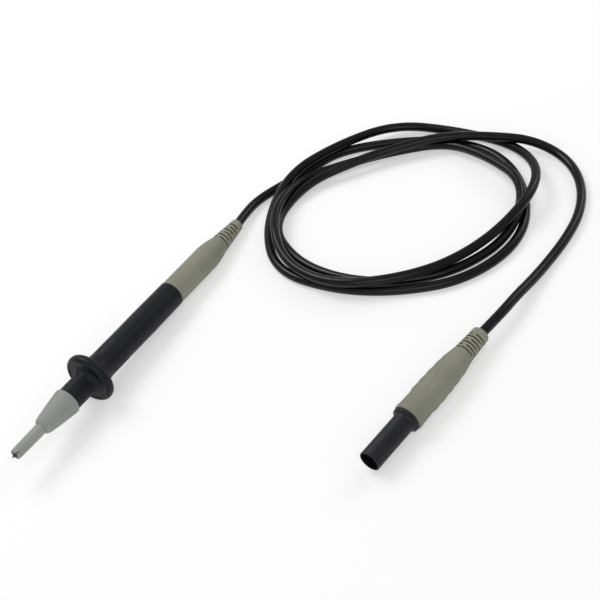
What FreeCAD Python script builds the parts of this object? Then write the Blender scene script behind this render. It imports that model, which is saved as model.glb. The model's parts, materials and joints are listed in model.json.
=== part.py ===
import FreeCAD, Part
import math
import os

# Insulated test lead: a hand probe with a finger guard and a spring-loaded tip sheath, about
# 1.2 m of flexible cord laid in three loose turns, and a shrouded 4 mm safety plug.
# Millimetres, +Z up. The probe lies along X with its tip at -X. The origin is on the floor,
# under the middle of the probe's bounding box. Every turned piece is drawn along its own axis,
# X = 0 at the needle's point or at the shroud's mouth, and is then placed as one group.

# ---- Driving dimensions: probe, measured back from the needle's point ----
NEEDLE_RADIUS = 1.0
NEEDLE_END = 46.0
MOUTH = 1.5                 # front of the tip sheath, which slides back 9 mm
MOUTH_RADIUS = 2.15
SHEATH_RADIUS = 2.35        # sliding part of the sheath
NOSE_FRONT = 16.2
NOSE_REAR = 31.6
NOSE_RADIUS = 5.6           # largest radius, just ahead of the rear rim
FLANGE_FRONT = 19.3
FLANGE_LENGTH = 1.3
FLANGE_RADIUS = 2.9
SPIGOT_FRONT = 28.7         # the neck's spigot inside the nose cone
SPIGOT_RADIUS = 4.5
NECK_RADIUS = 5.05
NECK_END = 40.2             # where the neck starts to swell into the guard
GUARD_POSITION = 44.9       # where the finger guard is widest
GUARD_RADIUS = 10.6
GUARD_HALF_WIDTH = 2.1
GUARD_EDGE_RADIUS = 9.2     # where the rounded rim meets the guard's two faces
HANDLE_RADIUS = 5.7
CARRIER_FRONT = 36.0
CARRIER_RADIUS = 2.5
CARRIER_REAR = 62.0
CHAMBER_RADIUS = 3.0        # spring chamber inside the nose and the handle
GRIP_FRONT = 97.1           # joint between the black handle and the rear grip
GRIP_RADIUS = 5.42
GRIP_SHOULDER = 121.0       # where the grip starts to narrow
GRIP_SOCKET = 10.4          # depth of the grip's socket over the handle's spigot
GRIP_SPIGOT_RADIUS = 4.3
PROBE_LENGTH = 144.8
RELIEF_RADIUS = 2.65        # end of the probe's strain relief
RELIEF_FRONT = 130.8        # first slot
RELIEF_PITCH = 1.95
SLOT_WIDTH = 0.9
SLOT_BRIDGE = 1.6

# ---- Driving dimensions: plug, measured back from the shroud's mouth ----
SHROUD_RADIUS = 4.1
SHROUD_BORE = 3.3
SHROUD_FLARE = 19.2         # where the shroud starts to flare into its collar
COLLAR_RADIUS = 5.3
PLUG_GRIP_FRONT = 22.2
PLUG_GRIP_RADIUS = 5.75
PLUG_SPIGOT_RADIUS = 4.6
PLUG_SPIGOT_END = 34.8
CAGE_FRONT = 4.2
CAGE_REAR = 19.6
CAGE_BORE = 1.55
CORE_FRONT = 20.8           # front face of the insulating core
CAGE_BULGE = 2.3            # a 4 mm contact: the lamellae stand proud until they are plugged in
JOURNAL_RADIUS = 1.5
PIN_RADIUS = 1.6
PLUG_LENGTH = 68.3
PLUG_RELIEF_RADIUS = 3.5
PLUG_RELIEF_FRONT = 56.5
PLUG_RELIEF_PITCH = 1.55
PLUG_SLOT_WIDTH = 0.75
PLUG_BARREL_END = 42.8      # rear of the pin's crimp barrel
PLUG_CAVITY_RADIUS = 2.5    # room for the crimp inside the grip
PIN_COLLAR_RADIUS = 1.95
PLUG_END = (50.26, -126.7)   # floor position of the plug's cord end
PLUG_HEADING = 172.9        # degrees from +X, cord end to mouth

# ---- Driving dimensions: cord ----
CORD_RADIUS = 1.95
INSULATION_RADIUS = 1.35
CONDUCTOR_RADIUS = 0.88
BARREL_RADIUS = 1.7         # crimp barrel on the needle's holder
SLEEVE_RADIUS = 2.3
CRIMP_DEPTH = 10.0
BARE_LENGTH = 10.0          # conductor and insulation drawn separately behind the crimp
WALL_GAP = 0.02             # clearance between pieces that are pressed or moulded together

# Route of the stretch from the probe's strain relief to the coil
PROBE_LEAD_ROUTE = (
    (72.16, 0.0, 3.8),
    (81.5, 0.0, 3.16),
    (90.2, 1.1, 2.25),
    (99.0, -1.3, 1.95),
)

# Route of the stretch from the coil to the plug's strain relief
PLUG_LEAD_ROUTE = (
    (157.1, -86.3, 6.2),
    (158.1, -97.4, 5.4),
    (156.7, -108.6, 3.0),
    (150.4, -118.4, 1.95),
    (139.4, -126.5, 1.95),
    (125.9, -131.3, 1.95),
    (111.7, -132.4, 1.95),
    (97.0, -131.5, 2.0),
    (84.4, -130.6, 3.1),
    (73.4, -129.6, 4.8),
    (61.67, -128.12, 5.75),
    (50.26, -126.7, 5.75),
)

# The coil: radius of each turn every 30 degrees, clockwise from the entry at +Y. The last row
# is the part turn that leaves towards the plug.
COIL_CENTRE = (104.8, -59.0)
COIL_HEIGHT = 10.4
STATION_ANGLE = 30.0
TURN_RADII = (
    (57.5, 49.4, 44.5, 46.0, 49.9, 52.3, 55.2, 53.0, 48.8, 49.8, 55.0, 54.2),
    (52.1, 49.8, 52.8, 53.0, 58.1, 57.9, 49.6, 45.1, 46.1, 50.7, 51.9, 50.6),
    (47.5, 39.5, 37.8, 42.3, 44.2, 50.9, 50.8, 46.9, 43.5, 43.7, 47.0, 50.4),
    (43.4, 35.2, 35.2, 43.1),
)


def vector(x, y, z):
    return FreeCAD.Vector(x, y, z)


# ---- Turned pieces ----

def lathe(outline):
    """Turn a closed outline about X. A corner is (x, radius); one that an arc reaches is
    (x, radius, x_on_arc, radius_on_arc)."""
    edges = []
    here = vector(outline[0][0], 0, outline[0][1])
    for corner in outline[1:] + [outline[0][:2]]:
        there = vector(corner[0], 0, corner[1])
        if len(corner) == 4:
            edges.append(Part.Arc(here, vector(corner[2], 0, corner[3]), there).toShape())
        else:
            edges.append(Part.LineSegment(here, there).toShape())
        here = there
    face = Part.Face(Part.Wire(edges))
    return face.revolve(vector(0, 0, 0), vector(1, 0, 0), 360)


def ring(start, end, inner, outer):
    return lathe([(start, inner), (start, outer), (end, outer), (end, inner)])


def rod(start, end, radius):
    return lathe([(start, 0), (start, radius), (end, radius), (end, 0)])


def cross_bar(start, end, width, reach):
    """A bar across the axis, used to cut slots or to keep the bridges between them."""
    return Part.makeBox(end - start, width, 2 * reach, vector(start, -width / 2, -reach))


def relief_slots(first, pitch, width, count, turned):
    """Half-round slots of a strain relief. Each leaves two bridges, a quarter turn from the
    bridges of the next slot. The first slot's are above and below the axis, or at its sides
    when turned is 1."""
    reach = PLUG_GRIP_RADIUS + 1
    slots = []
    for index in range(count):
        start = first + index * pitch
        end = start + width
        groove = ring(start, end, CORD_RADIUS - 0.5, reach)
        bridges = cross_bar(start - 1, end + 1, SLOT_BRIDGE, reach + 1)
        bridges.rotate(vector(0, 0, 0), vector(1, 0, 0), 90 * ((index + turned) % 2))
        slots.append(groove.cut(bridges))
    return slots


# ---- Probe ----

def tip_needle():
    return lathe([(0, 0), (0.3, 0.22), (3.4, NEEDLE_RADIUS), (NEEDLE_END, NEEDLE_RADIUS),
                  (NEEDLE_END, 0)])


def tip_sheath():
    bore = NEEDLE_RADIUS + 0.08
    flange_rear = FLANGE_FRONT + FLANGE_LENGTH
    body = lathe([
        (MOUTH, bore + 0.25),
        (MOUTH, MOUTH_RADIUS - 0.35),
        (MOUTH + 0.35, MOUTH_RADIUS, MOUTH + 0.1, MOUTH_RADIUS - 0.1),
        (NOSE_FRONT - 3, SHEATH_RADIUS),
        (FLANGE_FRONT, SHEATH_RADIUS),
        (FLANGE_FRONT, FLANGE_RADIUS),
        (flange_rear, FLANGE_RADIUS),
        (flange_rear, bore),
        (MOUTH + 0.6, bore),
    ])
    slot_depth = 1.3
    for quarter in (0, 90):
        slot = cross_bar(MOUTH - 1, MOUTH + slot_depth, 0.4, 3)
        slot.rotate(vector(0, 0, 0), vector(1, 0, 0), 45 + quarter)
        body = body.cut(slot)
    return body


def sheath_spring():
    wire_radius = 0.2
    coil_radius = 2.3
    turns = 9
    start = FLANGE_FRONT + FLANGE_LENGTH + wire_radius + 0.05
    length = CARRIER_FRONT - 1.0 - start - wire_radius - 0.05
    helix = Part.makeHelix(length / turns, length, coil_radius)
    section = Part.Wire(Part.makeCircle(wire_radius, vector(coil_radius, 0, 0), vector(0, 1, 0)))
    spring = Part.Wire(helix).makePipeShell([section], True, True)
    spring.rotate(vector(0, 0, 0), vector(0, 1, 0), 90)
    spring.translate(vector(start, 0, 0))
    return spring


def spring_stop_washer():
    return ring(CARRIER_FRONT - 1.0, CARRIER_FRONT, NEEDLE_RADIUS + 0.03, FLANGE_RADIUS + 0.05)


def nose_cone():
    bore = SHEATH_RADIUS + 0.07
    skirt = SPIGOT_RADIUS + WALL_GAP
    return lathe([
        (NOSE_FRONT, bore),
        (NOSE_FRONT, bore + 0.1),
        (NOSE_FRONT + 2.0, 3.75, NOSE_FRONT + 0.65, 3.3),         # round shoulder
        (NOSE_REAR - 1.4, NOSE_RADIUS - 0.08, 24.2, 4.72),
        (NOSE_REAR, NOSE_RADIUS - 0.35, NOSE_REAR - 0.4, NOSE_RADIUS),
        (NOSE_REAR, skirt),
        (SPIGOT_FRONT - 0.1, skirt),
        (SPIGOT_FRONT - 0.1, CHAMBER_RADIUS - WALL_GAP),
        (FLANGE_FRONT - 0.05, CHAMBER_RADIUS - WALL_GAP),
        (FLANGE_FRONT - 0.05, bore),
    ])


def handle_body():
    spigot_end = GRIP_FRONT + GRIP_SOCKET - 0.2
    return lathe([
        (SPIGOT_FRONT, CHAMBER_RADIUS),
        (SPIGOT_FRONT, SPIGOT_RADIUS),
        (NOSE_REAR + 0.1, SPIGOT_RADIUS),
        (NOSE_REAR + 0.1, NECK_RADIUS),
        (NECK_END, NECK_RADIUS + 0.05),
        (43.2, 7.4, 42.3, 5.7),                                   # fillet up to the dished face
        (GUARD_POSITION - GUARD_HALF_WIDTH, GUARD_EDGE_RADIUS, 43.15, 8.4),
        (GUARD_POSITION + GUARD_HALF_WIDTH, GUARD_EDGE_RADIUS, GUARD_POSITION, GUARD_RADIUS),
        (47.7, 7.2, 47.1, 8.1),
        (52.6, HANDLE_RADIUS, 49.4, 6.2),                         # fillet behind the guard
        (78.0, HANDLE_RADIUS + 0.02),
        (GRIP_FRONT - 0.3, HANDLE_RADIUS - 0.1),
        (GRIP_FRONT, HANDLE_RADIUS - 0.4, GRIP_FRONT - 0.1, HANDLE_RADIUS - 0.2),
        (GRIP_FRONT, GRIP_SPIGOT_RADIUS),
        (spigot_end, GRIP_SPIGOT_RADIUS),
        (spigot_end, CORD_RADIUS + 0.05),
        (CARRIER_REAR + 2, CORD_RADIUS + 0.05),
        (CARRIER_REAR + 2, CARRIER_RADIUS + WALL_GAP),
        (CARRIER_FRONT, CARRIER_RADIUS + WALL_GAP),
        (CARRIER_FRONT, CHAMBER_RADIUS),
    ])


def needle_carrier():
    """Turned brass holder: the needle is pressed into its front, the conductor into its rear."""
    barrel_front = CARRIER_REAR - 6
    crimp_floor = CARRIER_REAR - CRIMP_DEPTH
    return lathe([
        (CARRIER_FRONT + 0.05, NEEDLE_RADIUS),
        (CARRIER_FRONT + 0.05, CARRIER_RADIUS),
        (barrel_front, CARRIER_RADIUS),
        (barrel_front, BARREL_RADIUS),
        (CARRIER_REAR, BARREL_RADIUS),
        (CARRIER_REAR, CONDUCTOR_RADIUS + WALL_GAP),
        (crimp_floor, CONDUCTOR_RADIUS + WALL_GAP),
        (crimp_floor, 0),
        (NEEDLE_END, 0),
        (NEEDLE_END, NEEDLE_RADIUS),
    ])


def rear_grip():
    socket_end = GRIP_FRONT + GRIP_SOCKET
    body = lathe([
        (GRIP_FRONT, GRIP_SPIGOT_RADIUS + WALL_GAP),
        (GRIP_FRONT, GRIP_RADIUS - 0.15),
        (GRIP_FRONT + 0.4, GRIP_RADIUS, GRIP_FRONT + 0.1, GRIP_RADIUS - 0.04),
        (GRIP_SHOULDER, GRIP_RADIUS),
        (129.4, 4.15, 125.4, 4.98),
        (PROBE_LENGTH - 0.5, RELIEF_RADIUS),
        (PROBE_LENGTH, RELIEF_RADIUS - 0.4, PROBE_LENGTH - 0.12, RELIEF_RADIUS - 0.12),
        (PROBE_LENGTH, CORD_RADIUS + WALL_GAP),
        (socket_end, CORD_RADIUS + WALL_GAP),
        (socket_end, GRIP_SPIGOT_RADIUS + WALL_GAP),
    ])
    return body.cut(relief_slots(RELIEF_FRONT, RELIEF_PITCH, SLOT_WIDTH, 6, 0))


# ---- Cord ends inside the probe and the plug ----

def crimp_sleeve(barrel_end):
    return ring(barrel_end - 5.5, barrel_end - 0.3, BARREL_RADIUS + WALL_GAP, SLEEVE_RADIUS)


def conductor_end(barrel_end):
    return rod(barrel_end - CRIMP_DEPTH + 0.2, barrel_end + BARE_LENGTH, CONDUCTOR_RADIUS)


def insulation_end(barrel_end):
    inner = CONDUCTOR_RADIUS + WALL_GAP
    return ring(barrel_end + 0.2, barrel_end + BARE_LENGTH, inner, INSULATION_RADIUS)


def jacket_end(barrel_end, exit_face):
    """Cord inside the housing, with its jacket stripped back over the last few millimetres."""
    stripped = barrel_end + 6
    return lathe([
        (stripped, INSULATION_RADIUS + WALL_GAP),
        (stripped, CORD_RADIUS),
        (exit_face, CORD_RADIUS),
        (exit_face, 0),
        (barrel_end + BARE_LENGTH, 0),
        (barrel_end + BARE_LENGTH, INSULATION_RADIUS + WALL_GAP),
    ])


# ---- Plug ----

def plug_shroud():
    return lathe([
        (0, SHROUD_BORE + 0.15),
        (0, SHROUD_RADIUS - 0.3),
        (0.3, SHROUD_RADIUS, 0.09, SHROUD_RADIUS - 0.09),
        (SHROUD_FLARE, SHROUD_RADIUS),
        (21.0, COLLAR_RADIUS, 20.4, 4.45),
        (PLUG_GRIP_FRONT, COLLAR_RADIUS),
        (PLUG_GRIP_FRONT, PLUG_SPIGOT_RADIUS),
        (PLUG_SPIGOT_END, PLUG_SPIGOT_RADIUS),
        (PLUG_SPIGOT_END, SHROUD_BORE),
        (0.4, SHROUD_BORE),
    ])


def plug_core():
    """Insulating core that holds the pin in the middle of the shroud."""
    return ring(CORE_FRONT, PLUG_SPIGOT_END - 0.1, PIN_RADIUS + WALL_GAP, SHROUD_BORE - WALL_GAP)


def plug_pin():
    return lathe([
        (3.1, 0),
        (3.1, 0.68),
        (4.1, 0.68),
        (4.1, JOURNAL_RADIUS),
        (CAGE_REAR + 0.15, JOURNAL_RADIUS),
        (CAGE_REAR + 0.15, PIN_COLLAR_RADIUS),
        (CORE_FRONT, PIN_COLLAR_RADIUS),
        (CORE_FRONT, PIN_RADIUS),
        (PLUG_BARREL_END, PIN_RADIUS),
        (PLUG_BARREL_END, CONDUCTOR_RADIUS + WALL_GAP),
        (PLUG_BARREL_END - CRIMP_DEPTH, CONDUCTOR_RADIUS + WALL_GAP),
        (PLUG_BARREL_END - CRIMP_DEPTH, 0),
    ])


def pin_tip_cap():
    return lathe([
        (2.2, 0),
        (2.2, 1.0),
        (3.0, 1.8, 2.43, 1.57),
        (4.05, 1.8),
        (4.05, 0.7),
        (3.05, 0.7),
        (3.05, 0),
    ])


def contact_cage():
    """Barrel of springy lamellae between two end rings, free to turn on the pin's journal."""
    wall = 0.3
    ring_width = 1.8
    front = CAGE_FRONT + ring_width
    rear = CAGE_REAR - ring_width
    middle = (CAGE_FRONT + CAGE_REAR) / 2
    body = lathe([
        (CAGE_FRONT, CAGE_BORE),
        (CAGE_FRONT, CAGE_BORE + wall),
        (front, CAGE_BORE + wall),
        (rear, CAGE_BORE + wall, middle, CAGE_BULGE),
        (CAGE_REAR, CAGE_BORE + wall),
        (CAGE_REAR, CAGE_BORE),
        (rear, CAGE_BORE),
        (front, CAGE_BORE, middle, CAGE_BULGE - wall),
    ])
    for index in range(4):
        slot = cross_bar(front + 0.4, rear - 0.4, 0.5, 4)
        slot.rotate(vector(0, 0, 0), vector(1, 0, 0), 45 * index)
        body = body.cut(slot)
    return body


def plug_grip():
    socket = PLUG_SPIGOT_RADIUS + WALL_GAP
    body = lathe([
        (PLUG_GRIP_FRONT, socket),
        (PLUG_GRIP_FRONT, PLUG_GRIP_RADIUS - 0.35),
        (23.4, PLUG_GRIP_RADIUS - 0.02, 22.6, PLUG_GRIP_RADIUS - 0.1),
        (32.6, PLUG_GRIP_RADIUS, 28.2, 5.5),                      # waist for the fingers
        (50.5, 5.1, 41.8, 5.59),
        (57.3, 4.0, 54.1, 4.45),
        (62.8, 3.72),
        (PLUG_LENGTH - 0.8, PLUG_RELIEF_RADIUS),
        (PLUG_LENGTH, PLUG_RELIEF_RADIUS - 0.7, PLUG_LENGTH - 0.2, PLUG_RELIEF_RADIUS - 0.2),
        (PLUG_LENGTH, CORD_RADIUS + WALL_GAP),
        (PLUG_BARREL_END + 2, CORD_RADIUS + WALL_GAP),
        (PLUG_BARREL_END + 2, PLUG_CAVITY_RADIUS),
        (PLUG_SPIGOT_END + 0.2, PLUG_CAVITY_RADIUS),
        (PLUG_SPIGOT_END + 0.2, socket),
    ])
    slots = relief_slots(PLUG_RELIEF_FRONT, PLUG_RELIEF_PITCH, PLUG_SLOT_WIDTH, 6, 1)
    return body.cut(slots)


# ---- Cord ----

def cord_tube(route, name):
    """Straight runs joined by tangent arcs, each as large as its two runs allow."""
    points = [vector(*point) for point in route]
    edges = []
    here = points[0]
    length = 0.0
    for before, corner, after in zip(points, points[1:], points[2:]):
        back = before - corner
        onward = after - corner
        shorter = min(back.Length, onward.Length)
        half_turn = (math.pi - back.getAngle(onward)) / 2
        setback = 0.45 * shorter
        radius = setback / math.tan(half_turn)
        back.normalize()
        onward.normalize()
        arc_start = corner + back * setback
        arc_end = corner + onward * setback
        inward = (back + onward).normalize()
        centre = corner + inward * (radius / math.cos(half_turn))
        arc_middle = centre - inward * radius
        edges.append(Part.LineSegment(here, arc_start).toShape())
        edges.append(Part.Arc(arc_start, arc_middle, arc_end).toShape())
        length += (arc_start - here).Length + 2 * half_turn * radius
        here = arc_end
        print(name, "radius", round(radius, 1), "turn", round(math.degrees(2 * half_turn), 1))
    edges.append(Part.LineSegment(here, points[-1]).toShape())
    length += (points[-1] - here).Length
    path = Part.Wire(edges)
    heading = points[1] - points[0]
    section = Part.Wire(Part.makeCircle(CORD_RADIUS, points[0], heading))
    tube = path.makePipeShell([section], True, False)
    print(name, "length", round(length, 1), "volume ratio",
          round(tube.Volume / (length * math.pi * CORD_RADIUS ** 2), 4))
    return tube


def coil_wall(radii):
    """Smooth closed line round the coil through one radius for each station."""
    points = []
    for station, radius in enumerate(radii):
        angle = math.radians(90 - STATION_ANGLE * station)
        points.append(vector(COIL_CENTRE[0] + radius * math.cos(angle),
                             COIL_CENTRE[1] + radius * math.sin(angle), 0))
    curve = Part.BSplineCurve()
    curve.interpolate(Points=points, PeriodicFlag=True)
    return Part.Wire(curve.toShape())


def cord_coil():
    """One closed ring with the outer shape of the loose turns."""
    outer = []
    inner = []
    for station in range(len(TURN_RADII[0])):
        radii = [turn[station] for turn in TURN_RADII if station < len(turn)]
        outer.append(max(radii) + CORD_RADIUS)
        inner.append(min(radii) - CORD_RADIUS)
    disc = Part.Face(coil_wall(outer)).extrude(vector(0, 0, COIL_HEIGHT))
    hole = Part.Face(coil_wall(inner)).extrude(vector(0, 0, COIL_HEIGHT + 2))
    hole.translate(vector(0, 0, -1))
    return disc.cut(hole)


# ---- Placement ----

def place_probe(shapes):
    """Lean the probe on its guard and its grip, with the origin under the middle of its box."""
    rise = GUARD_RADIUS - GRIP_RADIUS
    lean = math.degrees(math.asin(rise / math.hypot(GRIP_SHOULDER - GUARD_POSITION, rise)))
    for shape in shapes.values():
        shape.rotate(vector(0, 0, 0), vector(0, 1, 0), lean)
    box = Part.makeCompound(list(shapes.values())).optimalBoundingBox(False)
    shift = vector(-box.Center.x, -box.Center.y, -box.ZMin)
    for shape in shapes.values():
        shape.translate(shift)
    along = vector(math.cos(math.radians(lean)), 0, -math.sin(math.radians(lean)))
    print("probe lean", round(lean, 3), "axis", along, "tip", shift)
    print("probe exit", shift + along * PROBE_LENGTH, "box", box.XLength, box.YLength, box.ZLength)


def place_plug(shapes):
    """Lay the plug on the floor on the widest part of its grip."""
    heading = math.radians(PLUG_HEADING)
    mouth = vector(PLUG_END[0] + PLUG_LENGTH * math.cos(heading),
                   PLUG_END[1] + PLUG_LENGTH * math.sin(heading), PLUG_GRIP_RADIUS)
    for shape in shapes.values():
        shape.rotate(vector(0, 0, 0), vector(0, 0, 1), PLUG_HEADING + 180)
        shape.translate(mouth)
    print("plug mouth", mouth, "mouth direction", math.cos(heading), math.sin(heading))


def export(shapes):
    os.makedirs("parts", exist_ok=True)
    for name, shape in shapes.items():
        if shape.ShapeType != "Solid" and len(shape.Solids) == 1:
            shape = shape.Solids[0]
        print(name, shape.ShapeType, shape.isValid(), round(shape.Volume, 1))
        shape.exportStep("parts/" + name + ".step")


probe = {
    "tip_needle": tip_needle(),
    "tip_sheath": tip_sheath(),
    "sheath_spring": sheath_spring(),
    "spring_stop_washer": spring_stop_washer(),
    "nose_cone": nose_cone(),
    "handle_body": handle_body(),
    "needle_carrier": needle_carrier(),
    "probe_crimp_sleeve": crimp_sleeve(CARRIER_REAR),
    "probe_conductor_end": conductor_end(CARRIER_REAR),
    "probe_insulation_end": insulation_end(CARRIER_REAR),
    "probe_jacket_end": jacket_end(CARRIER_REAR, PROBE_LENGTH),
    "rear_grip": rear_grip(),
}
place_probe(probe)

plug = {
    "plug_shroud": plug_shroud(),
    "plug_core": plug_core(),
    "plug_pin": plug_pin(),
    "pin_tip_cap": pin_tip_cap(),
    "contact_cage": contact_cage(),
    "plug_crimp_sleeve": crimp_sleeve(PLUG_BARREL_END),
    "plug_conductor_end": conductor_end(PLUG_BARREL_END),
    "plug_insulation_end": insulation_end(PLUG_BARREL_END),
    "plug_jacket_end": jacket_end(PLUG_BARREL_END, PLUG_LENGTH),
    "plug_grip": plug_grip(),
}
place_plug(plug)

cord = {
    "cord_probe_lead": cord_tube(PROBE_LEAD_ROUTE, "cord_probe_lead"),
    "cord_coil": cord_coil(),
    "cord_plug_lead": cord_tube(PLUG_LEAD_ROUTE, "cord_plug_lead"),
}

export(probe)
export(plug)
export(cord)
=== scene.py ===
import json
import math

import bmesh
import bpy
from mathutils import Matrix, Vector


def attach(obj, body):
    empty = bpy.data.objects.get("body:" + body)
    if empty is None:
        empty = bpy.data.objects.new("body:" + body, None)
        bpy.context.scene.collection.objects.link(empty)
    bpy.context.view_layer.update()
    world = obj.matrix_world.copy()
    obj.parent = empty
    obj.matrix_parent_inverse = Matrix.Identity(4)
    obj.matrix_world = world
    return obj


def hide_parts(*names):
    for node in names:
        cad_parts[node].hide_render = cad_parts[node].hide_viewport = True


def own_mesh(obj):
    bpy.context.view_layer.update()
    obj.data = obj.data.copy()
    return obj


# An insulated test lead: a hand probe with a finger guard and a sliding tip sheath, a flexible
# cord laid in three loose turns, and a shrouded 4 mm safety plug. Metres, in the CAD's frame.
# Turned pieces are drawn in millimetres along their own axis, from the needle's point or from
# the shroud's mouth.

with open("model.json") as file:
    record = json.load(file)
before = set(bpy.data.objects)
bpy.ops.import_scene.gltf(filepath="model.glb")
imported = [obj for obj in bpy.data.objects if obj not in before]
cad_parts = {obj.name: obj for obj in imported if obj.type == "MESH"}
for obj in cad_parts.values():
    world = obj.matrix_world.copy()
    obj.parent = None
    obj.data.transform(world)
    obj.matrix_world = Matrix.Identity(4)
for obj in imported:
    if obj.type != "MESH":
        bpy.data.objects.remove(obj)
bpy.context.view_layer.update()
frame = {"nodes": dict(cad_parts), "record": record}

MM = 0.001
TURN = 2 * math.pi
SEGMENTS = 128

joints = {joint["name"]: joint for joint in frame["record"]["behaviour"]["joints"]}
mounts = {mount["name"]: mount for mount in frame["record"]["mounts"]}


# ---- Camera and studio ----

def add_camera():
    """A long lens from above the probe's tip side."""
    place = Vector((-0.2331, -0.3179, 0.3584))
    yaw = math.radians(44.12)
    pitch = math.radians(42.71)
    roll = math.radians(-16.68)
    forward = Vector((math.cos(yaw) * math.cos(pitch), math.sin(yaw) * math.cos(pitch),
                      -math.sin(pitch)))
    level = Vector((math.sin(yaw), -math.cos(yaw), 0))
    above = level.cross(forward)
    right = level * math.cos(roll) + above * math.sin(roll)
    up = above * math.cos(roll) - level * math.sin(roll)
    data = bpy.data.cameras.new("camera")
    data.lens = 79.74
    data.sensor_width = 36
    data.clip_start = 0.01
    camera = bpy.data.objects.new("camera", data)
    turned = Matrix((right, up, -forward)).transposed().to_4x4()
    camera.matrix_world = Matrix.Translation(place) @ turned
    bpy.context.collection.objects.link(camera)
    bpy.context.scene.camera = camera


def add_light(name, place, target, size, power):
    data = bpy.data.lights.new(name, "AREA")
    data.shape = "DISK"
    data.size = size
    data.energy = power
    light = bpy.data.objects.new(name, data)
    light.location = place
    light.rotation_euler = (Vector(target) - Vector(place)).to_track_quat("-Z", "Y").to_euler()
    bpy.context.collection.objects.link(light)


def add_studio():
    middle = (0.04, -0.05, 0)
    add_light("key", (0.15, 0.55, 0.85), middle, size=0.6, power=5)
    add_light("fill", (-0.7, -0.5, 0.7), middle, size=0.9, power=3)
    add_light("side", (0.8, -0.3, 0.5), middle, size=0.5, power=1.4)
    world = bpy.data.worlds.new("studio")
    world.use_nodes = True
    background = world.node_tree.nodes["Background"]
    background.inputs["Color"].default_value = (1, 1, 1, 1)
    background.inputs["Strength"].default_value = 0.5
    bpy.context.scene.world = world
    bpy.context.scene.view_settings.view_transform = "Standard"


def add_floor():
    """A pale floor that gives off some light, so that shadows on it stay faint."""
    mesh = bpy.data.meshes.new("floor")
    form = bmesh.new()
    bmesh.ops.create_grid(form, x_segments=1, y_segments=1, size=4)
    form.to_mesh(mesh)
    form.free()
    floor = bpy.data.objects.new("floor", mesh)
    bpy.context.collection.objects.link(floor)
    material = bpy.data.materials.new("floor")
    material.use_nodes = True
    shader = material.node_tree.nodes["Principled BSDF"]
    shader.inputs["Base Color"].default_value = (0.53, 0.53, 0.53, 1)
    shader.inputs["Emission Color"].default_value = (1, 1, 1, 1)
    shader.inputs["Emission Strength"].default_value = 0.435
    shader.inputs["Roughness"].default_value = 0.9
    shader.inputs["Specular IOR Level"].default_value = 0.1
    mesh.materials.append(material)


# ---- Materials ----

# The middle stretch of a noise texture's values, where nearly all of them lie.
NOISE_LOW = 0.3
NOISE_HIGH = 0.7


class Surface:
    """A Principled material under construction, with its pattern in object coordinates."""

    def __init__(self, name, roughness=0.5, metallic=0.0, specular=0.5):
        self.material = bpy.data.materials.new(name)
        self.material.use_nodes = True
        self.tree = self.material.node_tree
        self.shader = self.tree.nodes["Principled BSDF"]
        self.shader.inputs["Roughness"].default_value = roughness
        self.shader.inputs["Metallic"].default_value = metallic
        self.shader.inputs["Specular IOR Level"].default_value = specular
        self.place = self.tree.nodes.new("ShaderNodeTexCoord").outputs["Object"]
        self.height = None

    def link(self, start, end):
        self.tree.links.new(start, end)

    def noise(self, scale, detail=3.0, stretch=None):
        node = self.tree.nodes.new("ShaderNodeTexNoise")
        node.inputs["Scale"].default_value = scale
        node.inputs["Detail"].default_value = detail
        place = self.place
        if stretch:
            mapping = self.tree.nodes.new("ShaderNodeMapping")
            mapping.inputs["Scale"].default_value = stretch
            self.link(place, mapping.inputs["Vector"])
            place = mapping.outputs["Vector"]
        self.link(place, node.inputs["Vector"])
        return node.outputs["Fac"]

    def spread(self, value, low=0.0, high=1.0, start=NOISE_LOW, end=NOISE_HIGH):
        """Maps the stretch of value from start to end onto low to high."""
        node = self.tree.nodes.new("ShaderNodeMapRange")
        node.inputs["From Min"].default_value = start
        node.inputs["From Max"].default_value = end
        node.inputs["To Min"].default_value = low
        node.inputs["To Max"].default_value = high
        self.link(value, node.inputs["Value"])
        return node.outputs["Result"]

    def colour(self, value, dark, light):
        ramp = self.tree.nodes.new("ShaderNodeValToRGB")
        first, last = ramp.color_ramp.elements
        first.position = NOISE_LOW
        first.color = (*dark, 1)
        last.position = NOISE_HIGH
        last.color = (*light, 1)
        self.link(value, ramp.inputs["Fac"])
        return ramp.outputs["Color"]

    def mix(self, factor, first, second):
        node = self.tree.nodes.new("ShaderNodeMix")
        node.data_type = "RGBA"
        self.link(factor, node.inputs["Factor"])
        self.link(first, node.inputs["A"])
        if isinstance(second, tuple):
            node.inputs["B"].default_value = (*second, 1)
        else:
            self.link(second, node.inputs["B"])
        return node.outputs["Result"]

    def paint(self, colour):
        self.link(colour, self.shader.inputs["Base Color"])

    def rough(self, value, low, high):
        self.link(self.spread(value, low, high), self.shader.inputs["Roughness"])

    def bump(self, value, depth):
        """Raise the surface by up to depth metres. Bumps stack in the order they are added."""
        node = self.tree.nodes.new("ShaderNodeBump")
        node.inputs["Strength"].default_value = 1.0
        node.inputs["Distance"].default_value = depth
        self.link(value, node.inputs["Height"])
        if self.height:
            self.link(self.height, node.inputs["Normal"])
        self.height = node.outputs["Normal"]
        self.link(self.height, self.shader.inputs["Normal"])

    def edges(self, low, high):
        """Where the surface is convex: worn or polished edges."""
        node = self.tree.nodes.new("ShaderNodeNewGeometry")
        return self.spread(node.outputs["Pointiness"], start=low, end=high)


SPECK_SHADE = 0.82


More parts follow.
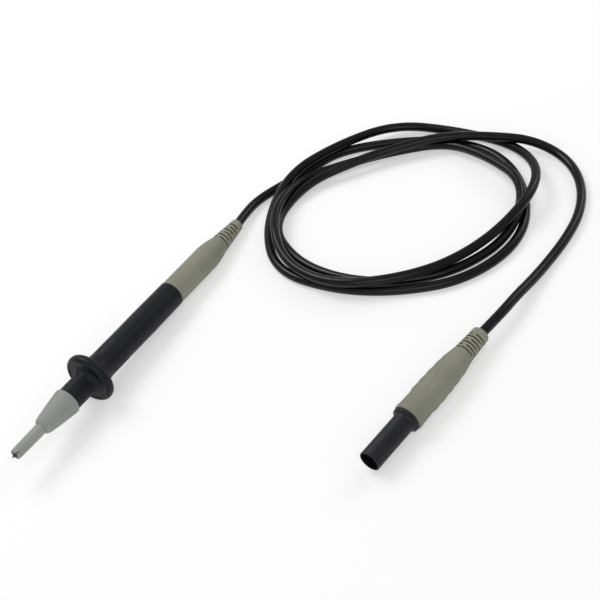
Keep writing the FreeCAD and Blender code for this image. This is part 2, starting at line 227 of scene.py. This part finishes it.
def moulded(name, dark, light, roughness, grain=1500, depth=0.00003, specular=0.5, worn=None):
    """Moulded plastic or rubber: fine eroded grain, slow colour drift and rubbed edges."""
    surface = Surface(name, specular=specular)
    drift = surface.noise(scale=45, detail=4)
    colour = surface.colour(drift, dark, light)
    speck = surface.noise(scale=2600, detail=2)
    shade = tuple(channel * SPECK_SHADE for channel in dark)
    colour = surface.mix(surface.spread(speck, high=0.35), colour, shade)
    if worn:
        colour = surface.mix(surface.edges(low=0.52, high=0.62), colour, worn)
    surface.paint(colour)
    gloss = surface.noise(scale=320, detail=5)
    surface.rough(gloss, low=roughness - 0.06, high=roughness + 0.07)
    surface.bump(surface.noise(scale=grain, detail=4), depth)
    surface.bump(surface.noise(scale=70, detail=2), depth=0.00006)
    return surface.material


def turned_metal(name, dark, light, roughness):
    """Machined metal: fine lines round the axis and a slight stain."""
    surface = Surface(name, roughness, metallic=1.0)
    lines = surface.noise(scale=900, detail=3, stretch=(6.0, 0.4, 0.4))
    stain = surface.noise(scale=160, detail=4)
    colour = surface.colour(lines, dark, light)
    surface.paint(surface.mix(surface.spread(stain), colour, dark))
    surface.rough(lines, low=roughness - 0.07, high=roughness + 0.1)
    surface.bump(lines, depth=0.000006)
    return surface.material


def stranded_copper(name):
    """Fine bare wires laid side by side."""
    surface = Surface(name, roughness=0.3, metallic=1.0)
    strands = surface.noise(scale=700, detail=2, stretch=(0.3, 3.0, 3.0))
    surface.paint(surface.colour(strands, dark=(0.42, 0.17, 0.09), light=(0.86, 0.46, 0.3)))
    surface.rough(strands, low=0.25, high=0.42)
    surface.bump(strands, depth=0.00008)
    return surface.material


MATERIALS = {
    # Painted shade: the needle's steel is made nearly black, for the needle in the dark mouth of
    # its sheath.
    "needle_steel": turned_metal(
        "needle_steel", dark=(0.03, 0.03, 0.032), light=(0.09, 0.09, 0.095), roughness=0.34),
    "sheath_grey": moulded(
        "sheath_grey", dark=(0.245, 0.256, 0.24), light=(0.3, 0.31, 0.293), roughness=0.55,
        specular=0.3, worn=(0.33, 0.335, 0.32)),
    "nose_grey": moulded(
        "nose_grey", dark=(0.236, 0.246, 0.232), light=(0.29, 0.299, 0.283), roughness=0.6,
        grain=1300, depth=0.000035, specular=0.3, worn=(0.31, 0.315, 0.3)),
    "handle_black": moulded(
        "handle_black", dark=(0.0042, 0.0047, 0.0066), light=(0.0072, 0.0079, 0.0108),
        roughness=0.45, grain=1700, specular=0.2, worn=(0.014, 0.0148, 0.019)),
    "grip_beige": moulded(
        "grip_beige", dark=(0.19, 0.193, 0.148), light=(0.25, 0.253, 0.2), roughness=0.62,
        grain=1100, depth=0.00005, specular=0.3, worn=(0.3, 0.3, 0.24)),
    "cord_black": moulded(
        "cord_black", dark=(0.0014, 0.0016, 0.0024), light=(0.003, 0.0033, 0.0048),
        roughness=0.24, grain=2100, specular=0.24),
    "shroud_black": moulded(
        "shroud_black", dark=(0.0078, 0.0083, 0.011), light=(0.013, 0.0137, 0.0176),
        roughness=0.5, specular=0.26, worn=(0.024, 0.025, 0.031)),
    # Painted shade: near-black for the inside of the shroud's mouth, where shade falls.
    "bore_painted_shade": moulded(
        "bore_painted_shade", dark=(0.0006, 0.0006, 0.0008), light=(0.0012, 0.0012, 0.0015),
        roughness=0.6, specular=0.08),
    "core_black": moulded(
        "core_black", dark=(0.003, 0.003, 0.0035), light=(0.006, 0.006, 0.007),
        roughness=0.5, specular=0.2),
    "spring_steel": turned_metal(
        "spring_steel", dark=(0.4, 0.4, 0.41), light=(0.66, 0.66, 0.66), roughness=0.25),
    "washer_black": moulded(
        "washer_black", dark=(0.008, 0.008, 0.009), light=(0.014, 0.014, 0.015),
        roughness=0.55),
    "brass": turned_metal(
        "brass", dark=(0.5, 0.33, 0.12), light=(0.82, 0.62, 0.3), roughness=0.24),
    "nickel": turned_metal(
        "nickel", dark=(0.3, 0.295, 0.28), light=(0.52, 0.51, 0.49), roughness=0.22),
    "copper": stranded_copper("copper"),
    "insulation_white": moulded(
        "insulation_white", dark=(0.62, 0.62, 0.59), light=(0.74, 0.74, 0.71),
        roughness=0.5, depth=0.00002),
}


def finish_cad_nodes():
    """Give every CAD node the material of its slot."""
    slots = {part["node"]: part["material_slot"] for part in frame["record"]["subparts"]}
    for name, node in frame["nodes"].items():
        for slot in node.material_slots:
            slot.material = MATERIALS[slots[name]]


# ---- Cord ----

CORD_DIAMETER = 0.0039
FLOOR_LINE = CORD_DIAMETER / 2      # height of the centre line where the cord lies on the floor

# From the probe's strain relief to the coil
PROBE_LEAD = (
    (0.07216, 0.0005, 0.0038),
    (0.0812, 0.0020, 0.0031),
    (0.0898, 0.0018, 0.0024),
    (0.0988, -0.0011, 0.00195),
    (0.1138, -0.0086, 0.00195),
)

# From the coil to the plug's strain relief
PLUG_LEAD = (
    (0.1571, -0.0863, 0.0062),
    (0.1581, -0.0974, 0.0054),
    (0.1567, -0.1086, 0.0030),
    (0.1504, -0.1184, 0.00195),
    (0.1394, -0.1265, 0.00195),
    (0.1259, -0.1313, 0.00195),
    (0.1117, -0.1324, 0.00195),
    (0.0970, -0.1315, 0.0020),
    (0.0844, -0.1306, 0.0031),
    (0.0734, -0.1296, 0.0048),
    (0.0624, -0.1289, 0.00575),
    (0.05026, -0.1267, 0.00575),
)

# The loose turns: twelve stations a turn, clockwise from +Y. Each is (millimetres from the
# coil's centre, how many cords it lies above the floor). The probe's lead takes the place of
# the first.
COIL_CENTRE = (0.1048, -0.059)
STATION = math.radians(30)
TURNS = (
    (None, (51.1, 0), (45.1, 0), (47.4, 0), (52.0, 0), (54.0, 0),
     (57.9, 0), (55.1, 0), (49.8, 0), (50.9, 0), (58.0, 0), (56.1, 0)),
    ((54.0, 1.2), (50.6, 1.0), (55.3, 0.5), (54.0, 0), (61.0, 0), (61.1, 1.8),
     (50.9, 1.45), (45.9, 0.85), (47.3, 1.15), (53.1, 1.2), (54.0, 0.8), (52.4, 1.55)),
    ((50.2, 0.55), (40.1, 0.05), (38.2, 0.1), (44.5, 0.2), (44.9, 0.9), (53.9, 1.25),
     (53.0, 0.2), (48.4, 0), (44.5, 0), (44.9, 0), (48.6, 0), (53.6, 0)),
    ((45.6, 0.4), (35.4, 0.9), (35.7, 1.0), (44.3, 1.3)),
)


def cord_points():
    """The cord's whole line, from the probe to the plug."""
    points = list(PROBE_LEAD)
    for turn in TURNS:
        for index, station in enumerate(turn):
            if station:
                radius, layer = station
                angle = TURN / 4 - STATION * index
                reach = radius * MM
                points.append((COIL_CENTRE[0] + reach * math.cos(angle),
                               COIL_CENTRE[1] + reach * math.sin(angle),
                               FLOOR_LINE + CORD_DIAMETER * layer))
    return points + list(PLUG_LEAD)


def add_cord():
    curve = bpy.data.curves.new("cord", "CURVE")
    curve.dimensions = "3D"
    curve.bevel_depth = CORD_DIAMETER / 2
    curve.bevel_resolution = 8
    curve.resolution_u = 24
    curve.use_fill_caps = True
    points = cord_points()
    spline = curve.splines.new("NURBS")
    spline.points.add(len(points) - 1)
    for point, place in zip(spline.points, points):
        point.co = (*place, 1)
    spline.order_u = 3
    spline.use_endpoint_u = True
    cord = bpy.data.objects.new("cord", curve)
    bpy.context.collection.objects.link(cord)
    curve.materials.append(MATERIALS["cord_black"])
    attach(cord, "lead")
    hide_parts("cord_probe_lead", "cord_coil", "cord_plug_lead")
    return cord


# ---- Turned pieces ----

def group_place(origin, heading):
    """Puts X along heading, with the piece's +Z as near to upright as that allows."""
    along = Vector(heading).normalized()
    side = Vector((0, 0, 1)).cross(along).normalized()
    upright = along.cross(side)
    turned = Matrix((along, side, upright)).transposed().to_4x4()
    return Matrix.Translation(origin) @ turned @ Matrix.Scale(MM, 4)


probe_point = mounts["probe_point"]
PROBE = group_place(Vector(probe_point["pos_m"]), -Vector(probe_point["axis"]))

cage_joint = joints["cage_spin"]
CAGE_MIDDLE = 11.9      # from the shroud's mouth
plug_heading = -Vector(cage_joint["axis"])
PLUG = group_place(Vector(cage_joint["pos_m"]) - plug_heading * CAGE_MIDDLE * MM, plug_heading)


def bend(start, through, end, steps=8):
    """Stations of a smooth bend that leaves start, passes through a middle point and ends at
    end. The start itself is left out."""
    stations = []
    for index in range(1, steps + 1):
        share = index / steps
        pull = 2 * share * (1 - share)
        stations.append(tuple(
            (1 - share) ** 2 * a + pull * (2 * b - (a + c) / 2) + share ** 2 * c
            for a, b, c in zip(start, through, end)))
    return stations


def outline(*parts):
    """One list of stations from corners (x, radius) and bends ((x, radius), (x, radius))."""
    stations = []
    for part in parts:
        if isinstance(part[0], tuple):
            stations.extend(bend(stations[-1], part[0], part[1]))
        else:
            stations.append(part)
    return stations


NEARLY_STRAIGHT = math.radians(150)
CORNER_SHARE = 0.4      # a rounded corner takes at most this share of the edges beside it


def soften(stations, reach):
    """Rounds every sharp corner of a closed outline over reach on each side."""
    result = []
    for index, here in enumerate(stations):
        before = Vector(stations[index - 1])
        after = Vector(stations[(index + 1) % len(stations)])
        corner = Vector(here)
        back = before - corner
        onward = after - corner
        size = min(reach, CORNER_SHARE * back.length, CORNER_SHARE * onward.length)
        if back.angle(onward) > NEARLY_STRAIGHT:
            result.append(here)
            continue
        start = corner + back.normalized() * size
        end = corner + onward.normalized() * size
        result.append(tuple(start))
        result.append(tuple((start + end) / 4 + corner / 2))
        result.append(tuple(end))
    return result


def divide(stations, low, high, step):
    """Adds stations between low and high on the outer side, at most step apart."""
    result = []
    for here, after in zip(stations, stations[1:]):
        result.append(here)
        forward = after[0] > here[0]
        if forward and here[0] >= low and after[0] <= high:
            count = math.ceil((after[0] - here[0]) / step)
            for index in range(1, count):
                share = index / count
                result.append(tuple(a + (b - a) * share for a, b in zip(here, after)))
    result.append(stations[-1])
    return result


SHARP_EDGE = math.radians(40)


def turned_piece(name, stations, place, body, slot, nodes, relief=None, segments=SEGMENTS):
    """A closed ring mesh turned about X through the stations; relief(x, radius, angle) gives
    how far the surface is sunk there."""
    form = bmesh.new()
    rings = []
    for x, radius in stations:
        row = []
        for index in range(segments):
            angle = TURN * index / segments
            reach = radius - (relief(x, radius, angle) if relief else 0)
            row.append(form.verts.new((x, reach * math.cos(angle), reach * math.sin(angle))))
        rings.append(row)
    for first, second in zip(rings, rings[1:] + rings[:1]):
        for index in range(segments):
            after = (index + 1) % segments
            form.faces.new((first[index], first[after], second[after], second[index]))
    bmesh.ops.recalc_face_normals(form, faces=form.faces)
    form.transform(place)
    mesh = bpy.data.meshes.new(name)
    form.to_mesh(mesh)
    form.free()
    for face in mesh.polygons:
        face.use_smooth = True
    mesh.set_sharp_from_angle(angle=SHARP_EDGE)
    piece = bpy.data.objects.new(name, mesh)
    bpy.context.collection.objects.link(piece)
    mesh.materials.append(MATERIALS[slot])
    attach(piece, body)
    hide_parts(*nodes)
    return piece


def smooth_step(value, low, high):
    """0 up to low, 1 from high on, and a smooth rise between them."""
    share = min(max((value - low) / (high - low), 0), 1)
    return share * share * (3 - 2 * share)


def band(value, low, high, edge):
    """1 between low and high, falling to 0 over edge outside them."""
    return smooth_step(value, low - edge, low) * (1 - smooth_step(value, high, high + edge))


def facing(angle, middle, half_width, edge):
    """1 near the angle called middle, in radians, falling to 0 past half_width."""
    apart = abs((angle - middle + TURN / 2) % TURN - TURN / 2)
    return 1 - smooth_step(apart, half_width, half_width + edge)


FLANGE_REAR = 20.6      # back of the sheath's flange, where its spring pushes
SLIT_HALF_WIDTH = 0.16
SLIT_SIDE = 0.08        # over how much a slit's wall falls
SLIT_END = 2.7
SLIT_FLOOR = 1.15       # radius, inside the bore's edge


def add_tip_sheath():
    """The thin tube round the needle, with two crossed slits in its mouth."""
    stations = outline(
        (1.5, 1.33),
        (1.5, 1.7),
        ((1.64, 2.0), (2.0, 2.16)),
        (3.6, 2.24),
        (12.0, 2.35),
        (19.3, 2.35),
        (19.3, 2.9),
        (FLANGE_REAR, 2.9),
        (FLANGE_REAR, 1.08),
        (2.1, 1.08),
    )
    stations = divide(soften(stations, 0.1), low=1.4, high=3.7, step=0.12)

    def notches(x, radius, angle):
        across = min(abs(radius * math.sin(angle - slit)) for slit in (TURN / 8, TURN * 3 / 8))
        inside = 1 - smooth_step(across, SLIT_HALF_WIDTH, SLIT_HALF_WIDTH + SLIT_SIDE)
        before_end = 1 - smooth_step(x, SLIT_END, SLIT_END + 0.12)
        return inside * before_end * max(radius - SLIT_FLOOR, 0)

    turned_piece("tip_sheath_detail", stations, PROBE, "sheath", "sheath_grey", ["tip_sheath"],
                 notches, segments=192)


def add_sheath_spring():
    """A copy of the spring's coils as a mesh of its own, on the lead; in the probe the coils
    close up against the stop washer as the sheath's flange comes back.
    """
    coils = frame["nodes"]["sheath_spring"].data.copy()
    piece = bpy.data.objects.new("sheath_spring_coils", coils)
    bpy.context.collection.objects.link(piece)
    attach(piece, "lead")
    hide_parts("sheath_spring")
    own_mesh(piece)


def add_nose():
    stations = outline(
        (16.2, 2.42),
        (16.2, 2.52),
        ((16.85, 3.3), (18.2, 3.75)),
        ((24.2, 4.72), (30.2, 5.52)),
        ((31.2, 5.6), (31.6, 5.25)),
        (31.6, 4.52),
        (28.6, 4.52),
        (28.6, 2.98),
        (19.25, 2.98),
        (19.25, 2.42),
    )
    turned_piece("nose_detail", soften(stations, 0.08), PROBE, "lead", "nose_grey", ["nose_cone"])


RING_PITCH = 1.0
NECK_RING_DEPTH = 0.14
HANDLE_RING_DEPTH = 0.11
SEAM_DEPTH = 0.09
SEAM_ANGLE = TURN * 0.29
HANDLE_SKIN = 4.6       # the surfaces that show lie outside this radius


def add_handle():
    """One moulding: spigot, ringed neck, finger guard and handle."""
    stations = outline(
        (28.7, 3.0),
        (28.7, 4.5),
        (31.7, 4.5),
        (31.7, 5.05),
        (40.2, 5.1),
        ((42.3, 5.8), (43.2, 7.4)),
        ((43.15, 8.4), (42.8, 9.2)),
        ((43.6, 10.27), (44.9, 10.6)),
        ((46.2, 10.27), (47.0, 9.2)),
        ((47.1, 8.1), (47.7, 7.2)),
        ((49.4, 6.2), (52.6, 5.7)),
        (62.0, 5.71),
        (78.0, 5.72),
        (96.8, 5.6),
        (97.1, 5.3),
        (97.1, 4.3),
        (107.3, 4.3),
        (107.3, 2.0),
        (64.0, 2.0),
        (64.0, 2.52),
        (36.0, 2.52),
        (36.0, 3.0),
    )
    stations = soften(stations, 0.12)
    stations = divide(stations, low=31.7, high=43.0, step=RING_PITCH / 8)
    stations = divide(stations, low=50.0, high=66.0, step=RING_PITCH / 6)
    stations = divide(stations, low=66.0, high=97.0, step=0.6)

    def rings_and_seam(x, radius, angle):
        if radius < HANDLE_SKIN:
            return 0
        wave = 0.5 + 0.5 * math.cos(TURN * x / RING_PITCH)
        neck = NECK_RING_DEPTH * band(x, low=32.9, high=41.0, edge=0.8)
        behind_guard = HANDLE_RING_DEPTH * band(x, low=52.5, high=61.0, edge=3.0)
        seam = SEAM_DEPTH * band(x, low=84.0, high=96.2, edge=0.4)
        seam *= facing(angle, SEAM_ANGLE, half_width=0.012, edge=0.05)
        return wave * (neck + behind_guard) + seam

    turned_piece("handle_detail", stations, PROBE, "lead", "handle_black", ["handle_body"],
                 rings_and_seam)


CORD_BORE = 1.97
SLOT_EDGE = 0.07
SLOT_SKIN = 0.06            # left between a slot's bottom and the bore
SLOT_INNERMOST = 0.2        # a surface nearer the bore than this is not cut
BRIDGE_HALF_WIDTH = 0.7
BRIDGE_SIDE = 0.16          # over how much a bridge's side falls
# The bottoms of the slots, by their radius. They are black, because the cord shows there.
SLOT_FLOOR = (CORD_BORE + 0.02, CORD_BORE + 0.4)


def slot_stations(first, pitch, width, count):
    """Where a strain relief needs stations for its slots to have crisp, slightly round edges."""
    places = []
    for index in range(count):
        start = first + pitch * index
        for edge in (start, start + width):
            places.extend((edge - SLOT_EDGE, edge - SLOT_EDGE / 3, edge + SLOT_EDGE / 3,
                           edge + SLOT_EDGE))
        places.append(start + width / 2)
    return places


def insert_stations(stations, places):
    """Adds a station at each place in x, on the outer side."""
    result = []
    for here, after in zip(stations, stations[1:]):
        result.append(here)
        for place in sorted(places):
            if here[0] < place < after[0]:
                share = (place - here[0]) / (after[0] - here[0])
                result.append((place, here[1] + (after[1] - here[1]) * share))
    result.append(stations[-1])
    return result


def relief_slot(x, radius, angle, first, pitch, width, count, turned):
    """Depth of the strain relief's slots: they go down to the cord, and each leaves two
    bridges, a quarter turn from its neighbours'. turned says where the first slot's are."""
    if radius < CORD_BORE + SLOT_INNERMOST:
        return 0
    index = round((x - first - width / 2) / pitch)
    if not 0 <= index < count:
        return 0
    start = first + pitch * index
    inside = band(x, start + SLOT_EDGE, start + width - SLOT_EDGE, 2 * SLOT_EDGE)
    across = abs(math.sin(angle)) if (index + turned) % 2 else abs(math.cos(angle))
    open_part = smooth_step(radius * across, BRIDGE_HALF_WIDTH, BRIDGE_HALF_WIDTH + BRIDGE_SIDE)
    return inside * open_part * (radius - CORD_BORE - SLOT_SKIN)


def pull_aside(piece, place, start, end, reach):
    """Bends a strain relief sideways, as its cord pulls it: reach at its end."""
    inverse = place.inverted()
    for vertex in piece.data.vertices:
        local = inverse @ vertex.co
        share = max(local.x - start, 0) / (end - start)
        vertex.co = place @ (local + Vector((0, reach * share * share, 0)))


def darken(piece, place, material, along, reach):
    """Faces whose middles lie in these ranges, along the axis and away from it, take a second
    material."""
    piece.data.materials.append(MATERIALS[material])
    inverse = place.inverted()
    for face in piece.data.polygons:
        middle = inverse @ face.center
        away = math.hypot(middle.y, middle.z)
        if along[0] < middle.x < along[1] and reach[0] < away < reach[1]:
            face.material_index = 1


def slotted_stretch(first, pitch, count):
    """From just before the first slot to the end of the last one's pitch."""
    return first - 0.2, first + pitch * count


def add_rear_grip():
    first = 130.8
    pitch = 1.95
    width = 0.9
    count = 6
    stations = outline(
        (97.1, 4.32),
        (97.1, 5.27),
        ((97.2, 5.38), (97.5, 5.42)),
        (121.0, 5.42),
        ((125.4, 4.98), (129.4, 4.15)),
        (144.3, 2.65),
        ((144.68, 2.53), (144.8, 2.25)),
        (144.8, CORD_BORE),
        (107.5, CORD_BORE),
        (107.5, 4.32),
    )
    stations = insert_stations(soften(stations, 0.06), slot_stations(first, pitch, width, count))

    def slots(x, radius, angle):
        return relief_slot(x, radius, angle, first, pitch, width, count, turned=0)

    piece = turned_piece("rear_grip_detail", stations, PROBE, "lead", "grip_beige", ["rear_grip"],
                         slots, segments=192)
    darken(piece, PROBE, "core_black", slotted_stretch(first, pitch, count), SLOT_FLOOR)
    pull_aside(piece, PROBE, start=122.0, end=144.8, reach=0.5)


PLUG_GRIP_SKIN = 4.7        # ahead of the strain relief, the surface that shows lies outside this
RIPPLE_DEPTH = 0.17
RIPPLE_PITCH = 4.6
RIPPLE_START = 28.3
DROP_MIDDLE = 37.7
DROP_HALF_LENGTH = 7.0
DROP_ANGLE = TURN * 0.228
DROP_RADIUS = 5.6           # of the grip there
DROP_HALF_WIDTH = 1.5
DROP_TAPER = 0.7
DROP_RIDGE = 0.24


def drop_distance(x, angle):
    """0 in the middle of the drop outline on the plug's grip, and 1 on its edge."""
    along = (x - DROP_MIDDLE) / DROP_HALF_LENGTH
    round_angle = (angle - DROP_ANGLE + TURN / 2) % TURN - TURN / 2
    across = round_angle * DROP_RADIUS / (DROP_HALF_WIDTH - DROP_TAPER * along)
    return math.hypot(along, across)


def add_plug_grip():
    first = 56.5
    pitch = 1.55
    width = 0.75
    count = 6
    stations = outline(
        (22.2, 4.62),
        (22.2, 5.4),
        ((22.6, 5.65), (23.4, 5.73)),
        ((28.2, 5.5), (32.6, 5.75)),
        ((41.8, 5.59), (50.5, 5.1)),
        ((54.1, 4.45), (57.3, 4.0)),
        (62.8, 3.72),
        (67.5, 3.5),
        ((68.1, 3.3), (68.3, 2.8)),
        (68.3, CORD_BORE),
        (44.8, CORD_BORE),
        (44.8, 2.5),
        (35.0, 2.5),
        (35.0, 4.62),
    )
    stations = divide(soften(stations, 0.06), low=24.8, high=52.8, step=0.3)
    stations = insert_stations(stations, slot_stations(first, pitch, width, count))

    def surface(x, radius, angle):
        if radius < PLUG_GRIP_SKIN and x < 52.8:
            return 0
        wave = 0.5 - 0.5 * math.cos(TURN * (x - RIPPLE_START) / RIPPLE_PITCH)
        sides = sum(facing(angle, side, half_width=0.5, edge=0.5) for side in (0, TURN / 2))
        ripples = RIPPLE_DEPTH * wave * sides * band(x, low=29.8, high=49.8, edge=2.0)
        ridge = DROP_RIDGE * band(drop_distance(x, angle), low=0.9, high=1.0, edge=0.1)
        slots = relief_slot(x, radius, angle, first, pitch, width, count, turned=1)
        return ripples - ridge + slots

    piece = turned_piece("plug_grip_detail", stations, PLUG, "lead", "grip_beige", ["plug_grip"],
                         surface, segments=256)
    darken(piece, PLUG, "core_black", slotted_stretch(first, pitch, count), SLOT_FLOOR)
    return piece


KEY_ANGLE = TURN * 0.345
KEY_HEIGHT = 0.34
BORE_RIM = 3.74         # painted shade covers the mouth's face and the bore up to this radius


def add_shroud():
    stations = outline(
        (0.0, 3.52),
        (0.0, 3.8),
        ((0.09, 4.0), (0.3, 4.1)),
        (19.2, 4.1),
        ((20.4, 4.45), (21.0, 5.3)),
        (22.2, 5.3),
        (22.2, 4.6),
        (34.8, 4.6),
        (34.8, 3.3),
        (3.2, 3.3),
        (3.0, 3.12),
        (2.2, 3.12),
        (2.0, 3.3),
        (1.2, 3.3),
        (0.9, 3.44),
    )
    stations = soften(stations, 0.08)

    def key(x, radius, angle):
        inner = radius < 3.6 and x < 2.1
        return -KEY_HEIGHT * facing(angle, KEY_ANGLE, half_width=0.16, edge=0.05) if inner else 0

    piece = turned_piece("plug_shroud_detail", stations, PLUG, "lead", "shroud_black",
                         ["plug_shroud"], key, segments=160)
    # The bore and the mouth's face take painted shade, a near-black material.
    darken(piece, PLUG, "bore_painted_shade", (-0.1, 20.0), (0.0, BORE_RIM))
    return piece


add_camera()
add_studio()
add_floor()
finish_cad_nodes()
cord = add_cord()
add_tip_sheath()
add_sheath_spring()
add_nose()
add_handle()
add_rear_grip()
plug_pieces = [add_plug_grip(), add_shroud()]
plug_nodes = ("plug_core", "plug_pin", "pin_tip_cap", "contact_cage", "plug_crimp_sleeve",
              "plug_conductor_end", "plug_insulation_end", "plug_jacket_end")
plug_pieces.extend(frame["nodes"][name] for name in plug_nodes)
